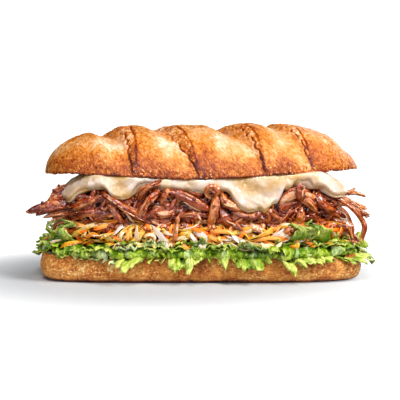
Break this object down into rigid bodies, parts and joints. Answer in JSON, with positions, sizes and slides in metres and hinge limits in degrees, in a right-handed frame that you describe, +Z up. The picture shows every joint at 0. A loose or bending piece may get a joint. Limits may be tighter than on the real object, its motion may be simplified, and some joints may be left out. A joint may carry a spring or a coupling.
{
  "type": "pulled pork sandwich",
  "caption": "Whole filled sub roll: scored golden crown, melted cheese draped over pulled pork, coleslaw, frilly lettuce and a flat heel.",
  "frame": {"origin": "middle of the overall bounding box at its lowest level, on the surface that the heel stands on", "axes": "+Z up, +X along the roll, -Y towards the front, the side that shows the largest drip of cheese at +X"},
  "size_m": [0.18, 0.0894, 0.0824],
  "materials": {
    "heel_bread": "matte baked crust with a cut crumb face",
    "lettuce_leaf": "moist waxy leaf",
    "coleslaw": "moist dressed shreds",
    "pork": "glossy sauced meat",
    "cheese": "soft melted gloss",
    "crown_crust": "satin golden crust"
  },
  "bodies": {
    "root": {"bun_heel": "heel_bread", "lettuce": "lettuce_leaf", "coleslaw": "coleslaw", "pulled_pork": "pork", "melted_cheese": "cheese", "bun_crown": "crown_crust"}
  },
  "joints": []
}
